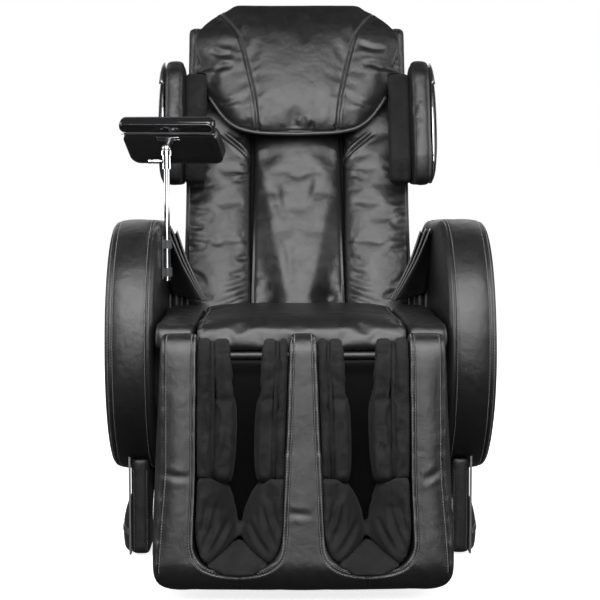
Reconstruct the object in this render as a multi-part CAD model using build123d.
from build123d import *
import math
import os

# Reclining massage chair. Millimetres, +Z up, the sitter faces -Y, +X is the sitter's left.
# The origin is on the floor, under the middle of the chair's overall footprint.
# Pieces are drawn in working coordinates, and put() moves them by Y_SHIFT.

os.makedirs("parts", exist_ok=True)

Y_SHIFT = 28.22
FIT = 0.05                                # radial clearance of a pin or shaft in its hole

# Backrest and leg rest axes, both along X
BACK_Y, BACK_Z, LEAN = 190.0, 340.0, 24.0       # the lean is from vertical
LEG_Y, LEG_Z, LEG_TILT = -412.0, 375.0, 8.0     # the tilt brings the hanging leg rest forward
BACK_AXIS, BACK_PIN_R = (BACK_Y, BACK_Z), 10
LEG_AXIS, LEG_PIN_R = (LEG_Y, LEG_Z), 8
BACK = Location((0, BACK_Y, BACK_Z), (-LEAN, 0, 0))
LEG = Location((0, LEG_Y, LEG_Z), (-LEG_TILT, 0, 0))


# ---------------------------------------------------------------- helpers
def block(x0, x1, y0, y1, z0, z1):
    centre = Pos((x0 + x1) / 2, (y0 + y1) / 2, (z0 + z1) / 2)
    return centre * Box(abs(x1 - x0), abs(y1 - y0), abs(z1 - z0))


def cyl_x(radius, x0, x1, y, z):
    return Pos((x0 + x1) / 2, y, z) * Rot(0, 90, 0) * Cylinder(radius, abs(x1 - x0))


def cyl_y(radius, y0, y1, x, z):
    return Pos(x, (y0 + y1) / 2, z) * Rot(90, 0, 0) * Cylinder(radius, abs(y1 - y0))


def cyl_z(radius, z0, z1, x, y):
    return Pos(x, y, (z0 + z1) / 2) * Cylinder(radius, abs(z1 - z0))


def extrude_x(face, x0, x1):
    """Face in the plane x = 0, extruded from x0 to x1."""
    return Pos(x0, 0, 0) * extrude(face, amount=x1 - x0, dir=(1, 0, 0))


def prism_x(points, x0, x1):
    """Polygon of (y, z) points extruded from x0 to x1."""
    return extrude_x(make_face(Polyline([(0, y, z) for y, z in points], close=True)), x0, x1)


def prism_y(points, y0, y1):
    """Polygon of (x, z) points extruded from y0 to y1."""
    face = make_face(Polyline([(x, 0, z) for x, z in points], close=True))
    return Pos(0, y0, 0) * extrude(face, amount=y1 - y0, dir=(0, 1, 0))


def mirror_x(shape):
    return mirror(shape, about=Plane.YZ)


def span(side, a, b):
    """X range a..b on the sitter's left (side 1), or its mirror image (side -1)."""
    return (a, b) if side > 0 else (-b, -a)


def cheeks(x, inner, outer):
    """X ranges of two plates that straddle x."""
    return (x - outer, x - inner), (x + inner, x + outer)


def swing(arm, degrees):
    """(y, z) of the end of a lever, turned rearwards from straight down."""
    angle = math.radians(degrees)
    return arm * math.sin(angle), -arm * math.cos(angle)


def round_edges(shape, radius, *filters):
    """Fillet the edges that pass every filter."""
    edges = shape.edges()
    for edge_filter in filters:
        edges = edges.filter_by(edge_filter)
    for scale in (1.0, 0.7, 0.45):
        # Guards against a radius the kernel can't build: a smaller one is tried, then none
        try:
            rounded = fillet(edges, radius * scale)
            if rounded.is_valid:
                return rounded
        except Exception:
            pass
    return shape


def put(name, *shapes, place=Location()):
    """Write one piece, moved from its own frame at place to the chair's."""
    to_chair = Location((0, Y_SHIFT, 0)) * place
    solids = [solid.moved(to_chair) for shape in shapes for solid in shape.solids()]
    piece = solids[0] if len(solids) == 1 else Compound(children=solids)
    export_step(piece, f"parts/{name}.step")


def put_pair(name, *halves, place=Location()):
    """Write one piece made of the given shapes and their mirror images."""
    put(name, *halves, *[mirror_x(half) for half in halves], place=place)


# ---------------------------------------------------------------- drive layout
# Each lever pin swings HALF degrees either side of straight down.
# The screw runs level, halfway up the arc. A mount is the (y, z) of the drive's fixed end.
REC_ARM, REC_HALF, REC_X = 90.0, 24.0, 60.0
REC_PIN_Y = BACK_Y + swing(REC_ARM, REC_HALF)[0]
REC_MOUNT = (-170.0, BACK_Z - REC_ARM * (1 + math.cos(math.radians(REC_HALF))) / 2)
LIFT_ARM, LIFT_HALF, LIFT_X = 65.0, 39.0, -60.0
LIFT_PIN_Y = LEG_Y + swing(LIFT_ARM, LIFT_HALF)[0]
LIFT_MOUNT = (-100.0, LEG_Z - LIFT_ARM * (1 + math.cos(math.radians(LIFT_HALF))) / 2)
MOUNT_PIN_R = 6

# ---------------------------------------------------------------- base frame
RAIL_Z = (50, 85)
WHEEL_AXIS, AXLE_R = (418, 62), 8         # (y, z)

frame = block(-245, 245, -230, -195, *RAIL_Z)
for side in (1, -1):
    # long rail, two posts and the seat rail
    frame += block(*span(side, 205, 245), -230, 435, *RAIL_Z)
    frame += block(*span(side, 212, 238), -222, -196, 84, 386)
    frame += block(*span(side, 212, 238), 60, 86, 84, 386)
    frame += block(*span(side, 212, 242), -365, 90, 385, 418)
    # leg rest lug
    lug = block(*span(side, 242, 250), LEG_Y, -330, LEG_Z - 18, LEG_Z + 18)
    lug += block(*span(side, 241, 250), -362, -330, LEG_Z, 412)
    lug += cyl_x(18, *span(side, 242, 250), *LEG_AXIS)
    lug -= cyl_x(LEG_PIN_R + FIT, *span(side, 240, 252), *LEG_AXIS)
    frame += lug
    # backrest upright
    upright = block(*span(side, 264, 272), 150, 230, 84, BACK_Z)
    upright += cyl_x(40, *span(side, 264, 272), *BACK_AXIS)
    upright -= cyl_x(BACK_PIN_R + FIT, *span(side, 262, 274), *BACK_AXIS)
    frame += upright
    # wheel axle and its head
    frame += cyl_x(AXLE_R, *span(side, 244, 281), *WHEEL_AXIS)
    frame += cyl_x(13, *span(side, 279.5, 284), *WHEEL_AXIS)
# cross members
frame += block(-303, 303, -108, -72, *RAIL_Z)
frame += block(-303, 303, 172, 208, *RAIL_Z)
frame += block(-245, 245, 400, 435, *RAIL_Z)
frame += block(-238, 238, -222, -196, 230, 256)
frame += block(-242, 242, -113, -87, 386, 412)
frame += block(-206, 206, 207, 401, 50, 54)
# front mount of the recline drive
mount_y, mount_z = REC_MOUNT
for x0, x1 in cheeks(REC_X, 14, 20):
    frame += block(x0, x1, -200, mount_y, mount_z - 14, mount_z + 14)
    frame += cyl_x(14, x0, x1, *REC_MOUNT)
frame += cyl_x(MOUNT_PIN_R, REC_X - 24, REC_X + 24, *REC_MOUNT)
# rear mount of the leg rest drive
mount_y, mount_z = LIFT_MOUNT
for x0, x1 in cheeks(LIFT_X, 14, 20):
    frame += block(x0, x1, mount_y - 13, mount_y + 13, mount_z, 388)
    frame += cyl_x(13, x0, x1, *LIFT_MOUNT)
frame += cyl_x(MOUNT_PIN_R, LIFT_X - 24, LIFT_X + 24, *LIFT_MOUNT)
put("base_frame", frame)


def levelling_foot(x, y):
    """Pad, stem and nut."""
    return cyl_z(24, 0, 14, x, y) + cyl_z(9, 13, 49.8, x, y) + cyl_z(15, 36, 42, x, y)


put_pair("levelling_feet", *[levelling_foot(225, y) for y in (-200, 385)])

# Transport wheels, hollowed on the outer face around a hub
for side, name in ((-1, "wheel_right"), (1, "wheel_left")):
    wheel = cyl_x(45, *span(side, 249, 277), *WHEEL_AXIS)
    wheel = round_edges(wheel, 6, GeomType.CIRCLE)
    wheel -= cyl_x(32, *span(side, 270, 280), *WHEEL_AXIS)
    wheel += cyl_x(14, *span(side, 265, 278.5), *WHEEL_AXIS)
    wheel -= cyl_x(AXLE_R + FIT, *span(side, 240, 290), *WHEEL_AXIS)
    put(name, wheel)

# Headed pins on the backrest and leg rest axes
back_pin = cyl_x(BACK_PIN_R, 222, 277, *BACK_AXIS) + cyl_x(16, 273, 280, *BACK_AXIS)
leg_pin = cyl_x(LEG_PIN_R, 226, 256, *LEG_AXIS) + cyl_x(13, 251, 257, *LEG_AXIS)
put_pair("pivot_pins", back_pin, leg_pin)

# ---------------------------------------------------------------- armrests
ARM_IN, ARM_OUT = 286.0, 387.0                # inner and outer faces
ARM_Y, ARM_Z, ARM_R = -95.0, 415.0, 261.0     # front half circle of the outline
ARM_BACK_R = 322.0                            # rear arc, about the backrest axis


def arm_outline(grow=0.0):
    """Armrest side view as a face at x = 0, enlarged by grow."""
    front_r, back_r = ARM_R + grow, ARM_BACK_R + grow

    def point(y, z):
        return (0, y, z)

    def on_back_arc(degrees):
        angle = math.radians(degrees)
        return point(BACK_Y + back_r * math.cos(angle), BACK_Z + back_r * math.sin(angle))

    front_top = point(ARM_Y, ARM_Z + front_r)
    front_bottom = point(ARM_Y, ARM_Z - front_r)
    arc_start, arc_end = on_back_arc(96), on_back_arc(38)
    rear_bottom = point(330 + grow, 190 - grow)
    bottom_rear = point(250, ARM_Z - front_r)
    return make_face(Wire([
        ThreePointArc(front_bottom, point(ARM_Y - front_r, ARM_Z), front_top),
        Line(front_top, arc_start),
        ThreePointArc(arc_start, on_back_arc(67), arc_end),
        ThreePointArc(arc_end, point(arc_end[1] - 6, 350), rear_bottom),
        ThreePointArc(rear_bottom, point(300 + grow * 0.7, 165 - grow), bottom_rear),
        Line(bottom_rear, front_bottom),
    ]))


def on_arm_face(edge):
    x = edge.center().X
    return abs(x - ARM_IN) < 0.1 or abs(x - ARM_OUT) < 0.1


armrest = round_edges(extrude_x(arm_outline(), ARM_IN, ARM_OUT), 13, on_arm_face)
armrest -= block(289, 303, -129, -51, 100, 405)     # pocket for the bracket
put("armrest_left", armrest)
put("armrest_right", mirror_x(armrest))

bracket = block(291, 301, -125, -55, 86, 400) + block(262, 301, -108, -72, 85.2, 95)
put_pair("arm_brackets", bracket)

# Pleated covers between armrest and backrest
pleat = prism_y([(206, 493), (284.5, 493), (284.5, 645), (262, 645), (206, 510)], 5, 115)
put_pair("arm_pleats", round_edges(pleat, 5, Axis.Y))

# ---------------------------------------------------------------- base side panels
# (y, z) outlines of the panel and of the opening in its trim
PANEL = [(-250, 3), (-250, 235), (330, 235), (330, 60), (300, 3)]
TRIM_OPENING = [(-243, 10), (-243, 235), (322, 235), (322, 64), (297, 10)]
arm_cut = extrude_x(arm_outline(1.2), 280, 410)

panel = prism_x(PANEL, 305, 343) - arm_cut
panel = panel.solids().sort_by(SortBy.VOLUME)[-1]
panel = round_edges(panel, 7, Axis.Z, lambda e: e.center().Y < -240)
put_pair("side_panels", panel)

# Shallow domes low on the outer faces, towards the front
DOME_X, DOME_Y, DOME_Z = 347.6, -150.0, 34.0
DOME_R, DOME_H = 80.0, 19.0
DOME_SPHERE_R = (DOME_R**2 + DOME_H**2) / (2 * DOME_H)


def dome(grow=0.0):
    sphere = Pos(DOME_X + DOME_H - DOME_SPHERE_R, DOME_Y, DOME_Z) * Sphere(DOME_SPHERE_R + grow)
    return sphere & block(DOME_X, 380, DOME_Y - 90, DOME_Y + 90, 4, 130)


put_pair("foot_covers", round_edges(dome(), 4, Axis.Y))

# Edge trim of the panel, and an inlay strip on the dome
trim = prism_x(PANEL, 343.4, 347) - prism_x(TRIM_OPENING, 340, 350) - arm_cut
trim = trim.solids().sort_by(SortBy.VOLUME)[-1]
inlay = (dome(1.4) - dome(0.15)) & block(347.7, 380, -222, -158, 38, 50)
inlay = inlay.solids().sort_by(SortBy.VOLUME)[-1]
put("base_trims", trim, mirror_x(trim), inlay, mirror_x(inlay))

# ---------------------------------------------------------------- inside the base
TRAY_TOP = 54.3

control = round_edges(block(-165, -15, 262, 392, TRAY_TOP, 150), 8, Axis.Z)
control += block(-150, -130, 255, 262, 80, 120) + block(-60, -40, 255, 262, 80, 120)
put("control_box", control)

# Twin-barrel air pump with a spout at the front of each barrel
BARREL_X = (75, 150)
pump = block(30, 190, 250, 385, TRAY_TOP, 62)
for x in BARREL_X:
    pump += cyl_y(42, 262, 374, x, 106)
pump += block(72, 152, 285, 352, 60, 100)
for x in BARREL_X:
    pump += cyl_y(5, 235, 266, x, 120)
put("air_pump", pump)

skirt = round_edges(block(-240, 240, 436, 441, 18, 205), 14, Axis.Y)
skirt -= block(70, 170, 430, 445, 112, 164)
put("rear_skirt", skirt)

# Power panel: switch opening, two-pin inlet and the switch's pivot holes
SWITCH_AXIS, SWITCH_PIN_R = (438, 138), 1.5     # (y, z)
power = block(66, 174, 441.2, 444, 108, 168) + block(72, 168, 420, 441.3, 114, 162)
power -= block(81, 103, 428, 450, 122, 154)
power -= block(120, 150, 434, 450, 124, 152)
power += block(128, 132, 433, 441, 130, 146) + block(138, 142, 433, 441, 130, 146)
power -= cyl_x(SWITCH_PIN_R + 0.06, 78, 106, *SWITCH_AXIS)
put("power_panel", power)

SWITCH = [(444.5, 138), (445.2, 151.6), (434, 151.6), (434, 124.4), (448.5, 124.4)]
switch = prism_x(SWITCH, 83, 101) + cyl_x(SWITCH_PIN_R, 79, 105, *SWITCH_AXIS)
put("power_switch", switch)

# ---------------------------------------------------------------- drives
SCREW_R = 8


def put_drive(name, x, mount, pin_y, body_length, rod_start, eye_r):
    """Screw drive on a level line from its mount to below the lever pin.

    It is drawn along Z from the mount. The rod end's eye is wide of the pin.
    """
    reach = Vector(0, pin_y - mount[0], 0)
    length = reach.length
    plane = Plane(origin=(x, *mount), x_dir=(1, 0, 0), z_dir=reach)
    crosswise = Rot(0, 90, 0)

    body = Pos(0, 0, body_length / 2 + 14) * Box(24, 30, body_length)
    body += Pos(0, 0, 4) * Box(20, 22, 36)
    body += crosswise * Cylinder(12, 20)
    body += Pos(0, 36, 62) * Cylinder(21, 90) + Pos(0, 16, 62) * Box(24, 26, 80)
    body -= crosswise * Cylinder(MOUNT_PIN_R + FIT, 40)
    body -= Pos(0, 0, 40 + body_length / 2) * Cylinder(SCREW_R + FIT, body_length)
    put(f"{name}_drive", plane * body)

    rod_end = length - eye_r - 2
    rod = Pos(0, 0, (rod_end + rod_start) / 2) * Cylinder(SCREW_R, rod_end - rod_start)
    rod += Pos(0, 0, length) * crosswise * Cylinder(eye_r + 6, 14)
    rod -= Pos(0, 0, length) * crosswise * Cylinder(eye_r, 30)
    put(f"{name}_rod", plane * rod)


put_drive("recline", REC_X, REC_MOUNT, REC_PIN_Y, body_length=250, rod_start=195, eye_r=11.0)
put_drive("legrest", LIFT_X, LIFT_MOUNT, LIFT_PIN_Y, body_length=155, rod_start=45, eye_r=13.6)

# ---------------------------------------------------------------- seat
SEAT_TOP, SEAT_FRONT = 487.0, -408.0
SEAT = [    # (y, z)
    (SEAT_FRONT, 441), (SEAT_FRONT, 466), (-401, 480), (-386, SEAT_TOP),
    (-300, 488), (92, 474), (92, 438), (-400, 438),
]
SIDE_PAD = [(-398, 441), (-398, 466), (-388, 482), (-370, 488), (80, 480), (80, 438), (-392, 438)]

put("seat_board", round_edges(block(-262, 262, -370, 92, 420, 436), 10, Axis.Z))
put("seat_cushion", round_edges(prism_x(SEAT, -202, 202), 8, Axis.Y))
put_pair("seat_side_pads", round_edges(prism_x(SIDE_PAD, 204, 282), 8, Axis.Y))
put("seat_apron", round_edges(block(-258, 258, -401, -372, 421, 436.5), 5, Axis.X))

# ---------------------------------------------------------------- backrest structure
# From here to the wings, pieces are drawn upright with the recline axis as origin.


def back_side(side):
    """Side member with two windows and the pivot boss."""
    member = block(*span(side, 226, 246), -55, 61, 25, 770)
    member += block(*span(side, 226, 246), -28, 28, -10, 40)
    member += cyl_x(28, *span(side, 226, 250), 0, 0)
    windows = block(*span(side, 220, 250), -30, 45, 90, 380)
    windows += block(*span(side, 220, 250), -30, 45, 410, 740)
    member -= windows
    return member - cyl_x(BACK_PIN_R + FIT, *span(side, 215, 260), 0, 0)


back_frame = back_side(1) + back_side(-1)
for z0, z1 in ((26, 52), (382, 408), (744, 770)):
    back_frame += block(-228, 228, 48, 70, z0, z1)
# recline lever and its pin
pin_y, pin_z = swing(REC_ARM, REC_HALF + LEAN)
lever = [(48, 52), (70, 52), (pin_y + 13, pin_z), (pin_y - 13, pin_z)]
for x0, x1 in cheeks(REC_X, 10, 17):
    back_frame += prism_x(lever, x0, x1) + cyl_x(13, x0, x1, pin_y, pin_z)
back_frame += cyl_x(6, REC_X - 20, REC_X + 20, pin_y, pin_z)
put("back_frame", back_frame, place=BACK)


def shell_body(half_width, y0, y1, z0, z1, corner_r, top_r):
    """Block rounded at its rear corners, and at its top except along the front."""
    body = block(-half_width, half_width, y0, y1, z0, z1)
    body = fillet(body.edges().filter_by(Axis.Z).filter_by(lambda e: e.center().Y > 0), corner_r)
    return round_edges(
        body, top_r, lambda e: e.center().Z > z1 - 1 and e.center().Y > y0 + 1)


shell = shell_body(255, -50, 93, 70, 800, 45, 30)
shell -= shell_body(250, -60, 88, 60, 795, 40, 25)
put("back_shell", shell, place=BACK)

# Channel rails, open towards the middle, with tabs back to the cross members
RAIL_WEB = (171, 174)
rail = block(150, 174, -45, -5, 60, 755) - block(140, 171, -42, -8, 50, 760)
rail += block(*RAIL_WEB, -45, 47.8, 30, 66)
for z in (395, 750):
    rail += block(*RAIL_WEB, -30, 47.8, z - 12, z + 12)
put_pair("guide_rails", rail, place=BACK)

# Lift screw and the motor below it
LIFT_AT = (110.0, 24.0)       # (x, y) of the screw
SCREW_X, STUB_R = LIFT_AT[0], 5
screw = cyl_z(SCREW_R, 57, 752, *LIFT_AT) + cyl_z(STUB_R, 40, 57.5, *LIFT_AT)
put("lift_screw", screw, place=BACK)

lift_motor = round_edges(block(SCREW_X - 28, SCREW_X + 28, -14, 47.5, -8, 54), 8, Axis.Z)
lift_motor -= cyl_z(STUB_R + FIT, 30, 60, *LIFT_AT)
put("lift_motor", lift_motor, place=BACK)

# ---------------------------------------------------------------- massage carriage
CAR_Z = 340.0                 # middle of the carriage
SHAFT_Y, SHAFT_R = -18, 8     # kneading shaft
ROLLER_Y, ROLLER_PIN_R = -32, 5
ROLLER_RISE = 62              # rollers and guide wheels lie this far above and below CAR_Z

carriage = block(-138, 138, -2, 9, CAR_Z - 85, CAR_Z + 85)
for side in (1, -1):
    for z in (CAR_Z - ROLLER_RISE, CAR_Z + ROLLER_RISE):
        carriage += block(*span(side, 128, 146), -34, -1, z - 20, z + 20)
        carriage += cyl_x(15, *span(side, 145, 166), -25, z)
carriage += block(SCREW_X - 16, SCREW_X + 16, 8, 42, CAR_Z - 18, CAR_Z + 18)
carriage -= cyl_z(SCREW_R + FIT, CAR_Z - 30, CAR_Z + 30, *LIFT_AT)
put("massage_carriage", carriage, place=BACK)

motor = round_edges(block(-44, 60, 9.3, 44, CAR_Z - 60, CAR_Z + 60), 14, Axis.Y)
motor += cyl_z(16, CAR_Z + 58, CAR_Z + 84, 8, 26)
put("massage_motor", motor, place=BACK)

# Bowed arms with a roller pin at each end; (y, z above the carriage's middle)
ROLLER_ARM = [
    (-2.2, -20), (-2.2, 20), (-27, 72), (-39, 68),
    (-32, 10), (-32, -10), (-39, -68), (-27, -72),
]
arm = prism_x([(y, CAR_Z + z) for y, z in ROLLER_ARM], 40, 49)
arm -= cyl_x(SHAFT_R + FIT, 35, 55, SHAFT_Y, CAR_Z)
for z in (CAR_Z - ROLLER_RISE, CAR_Z + ROLLER_RISE):
    arm += cyl_x(ROLLER_PIN_R, 48, 80, ROLLER_Y, z) + cyl_x(9, 78, 82, ROLLER_Y, z)
put_pair("roller_arms", arm, place=BACK)

for name, z in (("upper_rollers", CAR_Z + ROLLER_RISE), ("lower_rollers", CAR_Z - ROLLER_RISE)):
    roller = round_edges(cyl_x(25, 51, 76, ROLLER_Y, z), 8, GeomType.CIRCLE)
    roller -= cyl_x(ROLLER_PIN_R + FIT, 45, 90, ROLLER_Y, z)
    put_pair(name, roller, place=BACK)

# Kneading shaft with two collars on each side
shaft = cyl_x(SHAFT_R, -122, 122, SHAFT_Y, CAR_Z)
for side in (1, -1):
    shaft += cyl_x(12, *span(side, 96, 110), SHAFT_Y, CAR_Z)
    shaft += cyl_x(13, *span(side, 16, 30), SHAFT_Y, CAR_Z)
put("kneading_shaft", shaft, place=BACK)

# ---------------------------------------------------------------- back pads and pillow
PAD_Z = (62, 796)
centre_pad = block(-104, 104, -112, -60, *PAD_Z)
centre_pad = round_edges(centre_pad, 16, lambda e: e.center().Y < -100)
put("back_centre_pad", centre_pad, place=BACK)

bolster = block(106, 255.5, -120, -60, *PAD_Z)
bolster = round_edges(bolster, 22, lambda e: e.center().Y < -110)
put_pair("back_bolsters", bolster, place=BACK)

# Head pillow: a narrower lower pad, and a wide upper one that hangs over the top; (y, z)
PILLOW_LOW = [(-126, 497), (-150, 495), (-172, 512), (-180, 560), (-180, 650), (-126, 650)]
PILLOW_TOP = [
    (-126, 640), (-180, 640), (-180, 760), (-170, 806), (-140, 832),
    (-100, 840), (-40, 832), (-14, 818), (-10, 803), (-126, 803),
]
PILLOW_X = 238


def on_pillow_end(edge):
    """Edges of the upper pad's ends, high up and at the front."""
    centre = edge.center()
    return abs(abs(centre.X) - PILLOW_X) < 0.1 and centre.Z > 700 and centre.Y < -127


pillow = prism_x(PILLOW_LOW, -204, 204)
pillow += round_edges(prism_x(PILLOW_TOP, -PILLOW_X, PILLOW_X), 16, on_pillow_end)
put("head_pillow", pillow, place=BACK)

# ---------------------------------------------------------------- shoulder wings
# (y, z) outlines, upright backrest frame
WING = [
    (-236, 405), (-207, 354), (-172, 358), (-120, 384), (-30, 418),
    (-30, 655), (-120, 682), (-205, 655), (-236, 612),
]
WING_PAD = [(-196, 410), (-172, 366), (-123, 382), (-123, 640), (-170, 640), (-196, 600)]
WING_TRIM = [
    (-226, 410), (-201, 363), (-172, 368), (-120, 394), (-42, 423),
    (-42, 646), (-120, 672), (-198, 647), (-226, 606),
]
WING_COVER = [
    (-220, 412), (-198, 370), (-172, 375), (-120, 401), (-48, 428),
    (-48, 640), (-120, 666), (-194, 641), (-220, 602),
]
WING_OUT, WING_PAD_IN = 300, 208
COVER_X, COVER_CROWN, COVER_R = 303.6, 14, 950     # domed outer face

wing = round_edges(prism_x(WING, 257, WING_OUT), 22, Axis.X)
wing = round_edges(wing, 9, lambda e: abs(e.center().X - WING_OUT) < 0.5)
put_pair("shoulder_wings", wing, place=BACK)

wing_pad = prism_x(WING_PAD, WING_PAD_IN, 255.6)
wing_pad = round_edges(wing_pad, 14, Axis.X, lambda e: e.center().Y < -150)
wing_pad = round_edges(wing_pad, 8, lambda e: abs(e.center().X - WING_PAD_IN) < 0.5)
put_pair("wing_pads", wing_pad, place=BACK)

put_pair("wing_trims", round_edges(prism_x(WING_TRIM, 300.3, 303.3), 20, Axis.X), place=BACK)

cover = round_edges(prism_x(WING_COVER, COVER_X, 320), 20, Axis.X)
cover = cover & (Pos(COVER_X + COVER_CROWN - COVER_R, -134, 512) * Sphere(COVER_R))
put_pair("wing_covers", cover, place=BACK)

# ---------------------------------------------------------------- leg rest
# Pieces are drawn hanging straight down, with the leg rest axis as origin.
leg_shell = block(-255, 255, -27, -12, -357, -42) + block(-226, 226, -27, -12, -50, 28)
leg_shell = round_edges(leg_shell, 30, Axis.Y, lambda e: e.center().Z < -350)
put("legrest_shell", leg_shell, place=LEG)

FRAME_Y = (-11.6, 9)


def leg_side(side):
    member = block(*span(side, 216, 240), *FRAME_Y, -330, 0)
    member += cyl_x(18, *span(side, 228, 240), 0, 0)
    return member - cyl_x(LEG_PIN_R + FIT, *span(side, 210, 250), 0, 0)


leg_frame = leg_side(1) + leg_side(-1)
for z0, z1 in ((-60, -32), (-200, -178), (-330, -306)):
    leg_frame += block(-217, 217, *FRAME_Y, z0, z1)
# drive lever and its pin
pin_y, pin_z = swing(LIFT_ARM, LIFT_HALF + LEG_TILT)
lever = [(-5, -60), (-5, -33), (pin_y, pin_z + 11), (pin_y, pin_z - 11)]
for x0, x1 in cheeks(LIFT_X, 10, 17):
    leg_frame += prism_x(lever, x0, x1) + cyl_x(11, x0, x1, pin_y, pin_z)
leg_frame += cyl_x(5, LIFT_X - 20, LIFT_X + 20, pin_y, pin_z)
put("legrest_frame", leg_frame, place=LEG)

# Pads: two side walls, a tapered middle wall and a bar across the foot end
PAD_FRONT, PAD_BACK = -190.0, -28.2
WALL = [    # (y, z)
    (PAD_BACK, -3), (PAD_BACK, -319), (PAD_FRONT, -319), (PAD_FRONT, 60),
    (PAD_FRONT + 14, 88), (PAD_FRONT + 40, 97), (-122, 93), (-120, 84), (-120, -3),
]
FOOT_BAR = [
    (PAD_BACK, -320), (PAD_FRONT, -320), (PAD_FRONT, -338),
    (PAD_FRONT + 8, -355), (PAD_FRONT + 28, -365), (PAD_BACK, -365),
]
side_wall = prism_x(WALL, 192, 259)
side_wall = round_edges(side_wall, 14, Axis.Z, lambda e: e.center().Y < -180)
taper = prism_y([(-38, -330), (38, -330), (26, 110), (-26, 110)], -230, 30)
mid_wall = prism_x(WALL, -42, 42) & taper
mid_wall = round_edges(mid_wall, 12, lambda e: e.center().Y < -180 and abs(e.center().X) > 20)
foot_bar = prism_x(FOOT_BAR, -267, 267)
foot_bar = round_edges(foot_bar, 28, Axis.Y, lambda e: e.center().Z < -350)
put("legrest_pads", side_wall, mirror_x(side_wall), mid_wall, foot_bar, place=LEG)

# Airbags fill each well from both walls; a calf or a foot parts them
CALF_BAG = [    # (y, z)
    (-50, -190), (-174, -190), (-174, 56), (-166, 74), (-148, 84),
    (-128, 82), (-122, 74), (-122, -8), (-50, -8),
]
calf_bags = [prism_x(CALF_BAG, x0, x1) for x0, x1 in ((146, 190.5), (36.5, 66))]
put_pair("calf_airbags", *calf_bags, place=LEG)

FOOT_BAGS = [    # (x, z): outer wall, inner wall, sole
    [(190.5, -196), (140, -196), (121, -262), (121, -274), (172, -318.5), (190.5, -318.5)],
    [(39.5, -196), (84, -196), (114, -262), (114, -274), (64, -318.5), (39.5, -318.5)],
    [(68, -318.5), (168, -318.5), (117.5, -280)],
]
put_pair("foot_airbags", *[prism_y(points, -179, -60) for points in FOOT_BAGS], place=LEG)

# Fins on the outer faces, domed by a sphere
FIN = [    # (y, z)
    (-118, -160), (-112, -135), (-70, -135), (-62, -160),
    (-62, -262), (-78, -292), (-100, -292), (-118, -262),
]
FIN_OUT, FIN_R = 276, 420
fin = prism_x(FIN, 259.6, FIN_OUT) & (Pos(FIN_OUT - FIN_R, -90, -235) * Sphere(FIN_R))
put_pair("legrest_fins", fin, place=LEG)

# ---------------------------------------------------------------- screen stand
STAND_X, STAND_Y = -275.5, -100.0
BALL_Z, BALL_R, TUBE_R = 822.0, 10, 6
CLAMP_AXIS = (STAND_Y, BALL_Z - 26)       # (y, z) of the clamp screw

# Bracket on the right armrest, with two tube eyes
stand = block(-285.8, -282.6, STAND_Y - 14, STAND_Y + 14, 552, 640)
for z in (566, 624):
    stand += block(-283, STAND_X - 4, STAND_Y - 10, STAND_Y + 10, z - 9, z + 9)
    stand += cyl_z(10, z - 9, z + 9, STAND_X, STAND_Y)
stand -= cyl_z(TUBE_R + 0.06, 540, 660, STAND_X, STAND_Y)
put("stand_bracket", stand)

# Tube with a ball socket at the top and a collar between the eyes
tube = cyl_z(TUBE_R, 548, BALL_Z - 36, STAND_X, STAND_Y)
tube += cyl_z(9.5, BALL_Z - 42, BALL_Z - 12, STAND_X, STAND_Y)
tube += cyl_z(12, BALL_Z - 14, BALL_Z - 4, STAND_X, STAND_Y)
tube += cyl_z(6.9, 576, 582, STAND_X, STAND_Y)
tube -= Pos(STAND_X, STAND_Y, BALL_Z) * Sphere(BALL_R + FIT)
tube -= cyl_x(2.6, STAND_X - 20, STAND_X - 4, *CLAMP_AXIS)
put("stand_tube", tube)

# Clamp screw with a flat two-lobed grip
GRIP_X = (STAND_X - 37, STAND_X - 32)
knob = cyl_x(2.5, STAND_X - 34, STAND_X - 5, *CLAMP_AXIS)
knob += cyl_x(5, STAND_X - 28, STAND_X - 14, *CLAMP_AXIS)
knob += block(*GRIP_X, STAND_Y - 9, STAND_Y + 9, BALL_Z - 29.5, BALL_Z - 22.5)
knob += cyl_x(5, *GRIP_X, STAND_Y - 9, BALL_Z - 26) + cyl_x(5, *GRIP_X, STAND_Y + 9, BALL_Z - 26)
put("clamp_knob", knob)

# ---------------------------------------------------------------- screen
# Its own frame: x across, z up the screen, +y out of the glass, origin at the ball's centre
SCREEN_TILT, SCREEN_YAW = 45.0, -18.0
SCREEN = Pos(STAND_X, STAND_Y, BALL_Z) * Rot(0, 0, SCREEN_YAW) * Rot(SCREEN_TILT, 0, 0)

STUD_R = 4
stud = Sphere(BALL_R) + cyl_y(STUD_R, 6, 27.2, 0, 0)
stud += cyl_y(9, 19, 22, 0, 0) + cyl_y(6.5, 27.1, 28.9, 0, 0)
put("ball_stud", stud, place=SCREEN)


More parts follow.
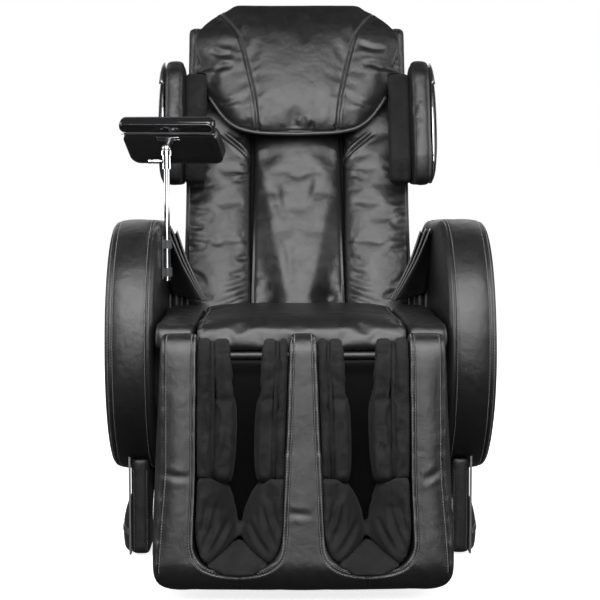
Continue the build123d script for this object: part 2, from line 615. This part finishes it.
def slab(half_width, z0, z1, y0, y1, corner_r):
    return round_edges(block(-half_width, half_width, y0, y1, z0, z1), corner_r, Axis.Y)


cradle = slab(104, -70, 17, 25.5, 50, 20) - slab(100, -66, 50, 29, 60, 17)
cradle += block(-26, 26, 22.2, 26, -4, 12)
cradle -= cyl_y(STUD_R + FIT, 10, 40, 0, 0) + cyl_y(6.7, 27, 40, 0, 0)
put("screen_cradle", cradle, place=SCREEN)

# Round buttons, and rocker keys that turn on trunnions
CONTROL_Z = -34
BUTTON_R = 9
BUTTONS = {"power_button": -74, "mode_button": 74}      # x of each
KEYS = {"back_key": -28, "legrest_key": 28}
KEY_Y = 45.0                                            # trunnion axis
GLASS_GAP = 0.3

unit = slab(99.5, -65.5, 44, 29.3, 46, 18)
unit += slab(104, 17.5, 46, 27, 47, 14)
unit -= slab(88, -10, 36, 45.4, 60, 4)
for x in BUTTONS.values():
    unit -= cyl_y(BUTTON_R + 0.2, 43, 50, x, CONTROL_Z)
for x in KEYS.values():
    unit -= block(x - 18, x + 18, 43, 50, CONTROL_Z - 10, CONTROL_Z + 10)
for x in KEYS.values():
    unit -= cyl_x(1.26, x - 20, x + 20, KEY_Y, CONTROL_Z)
put("screen_unit", unit, place=SCREEN)

glass = slab(88 - GLASS_GAP, -10 + GLASS_GAP, 36 - GLASS_GAP, 45.5, 47.2, 4 - GLASS_GAP)
put("screen_glass", glass, place=SCREEN)

for name, x in BUTTONS.items():
    button = round_edges(cyl_y(BUTTON_R, 45, 48.6, x, CONTROL_Z), 0.8, GeomType.CIRCLE)
    put(name, button, place=SCREEN)

for name, x in KEYS.items():
    key = block(x - 17.5, x + 17.5, 45.2, 48.6, CONTROL_Z - 9.5, CONTROL_Z + 9.5)
    key = round_edges(key, 3, Axis.Y)
    key += block(x - 17, x + 17, 44.4, 45.4, CONTROL_Z - 1, CONTROL_Z + 1)
    key += cyl_x(1.2, x - 19.5, x + 19.5, KEY_Y, CONTROL_Z)
    put(name, key, place=SCREEN)
